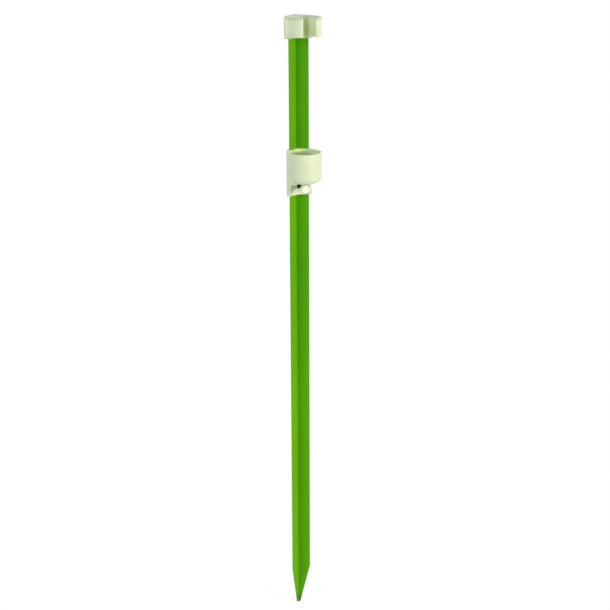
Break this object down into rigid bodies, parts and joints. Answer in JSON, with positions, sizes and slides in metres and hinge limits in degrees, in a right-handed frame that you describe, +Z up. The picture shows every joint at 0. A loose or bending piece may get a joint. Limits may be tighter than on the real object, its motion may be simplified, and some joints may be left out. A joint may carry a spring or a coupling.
{
  "type": "surf rod holder stake",
  "caption": "Pointed angle-section ground stake with a split ring rod rest on top and a sliding butt cup clamped by a thumbscrew.",
  "frame": {"origin": "blunt tip of the stake, on the outside corner of the angle section", "axes": "+Z up along the stake; the open side of the angle section, where the rod stands, faces -Y; +X to the right seen from that side"},
  "size_m": [0.0572, 0.0767, 1.081],
  "materials": {
    "green_paint": "semi-gloss grass-green paint on a metal angle",
    "pale_plastic": "pale green, slightly translucent moulded plastic",
    "white_plastic": "warm white moulded plastic",
    "dark_steel": "black-oxide steel",
    "zinc_steel": "zinc-plated steel"
  },
  "bodies": {
    "stake": {"stake": "green_paint", "rod_rest": "pale_plastic", "rest_screws": "zinc_steel"},
    "carriage": {"butt_cup": "pale_plastic", "clamp_nut": "dark_steel"},
    "shoe": {"clamp_shoe": "zinc_steel"},
    "screw": {"clamp_stud": "dark_steel", "clamp_knob": "white_plastic"}
  },
  "joints": [
    {"name": "cup_slide", "type": "slide", "parent": "stake", "child": "carriage", "axis": [0, 0, 1], "range_m": [-0.7, 0.178]},
    {"name": "screw_feed", "type": "slide", "parent": "carriage", "child": "shoe", "axis": [0, -1, 0], "range_m": [0, 0.002]},
    {"name": "screw_turn", "type": "hinge", "parent": "shoe", "child": "screw", "pos_m": [0, -0.03, 0.804], "axis": [0, -1, 0], "range_deg": [0, 720]}
  ],
  "couplings": [
    {"joint": "screw_turn", "follows": "screw_feed", "rad_per_m": 6283.2}
  ]
}
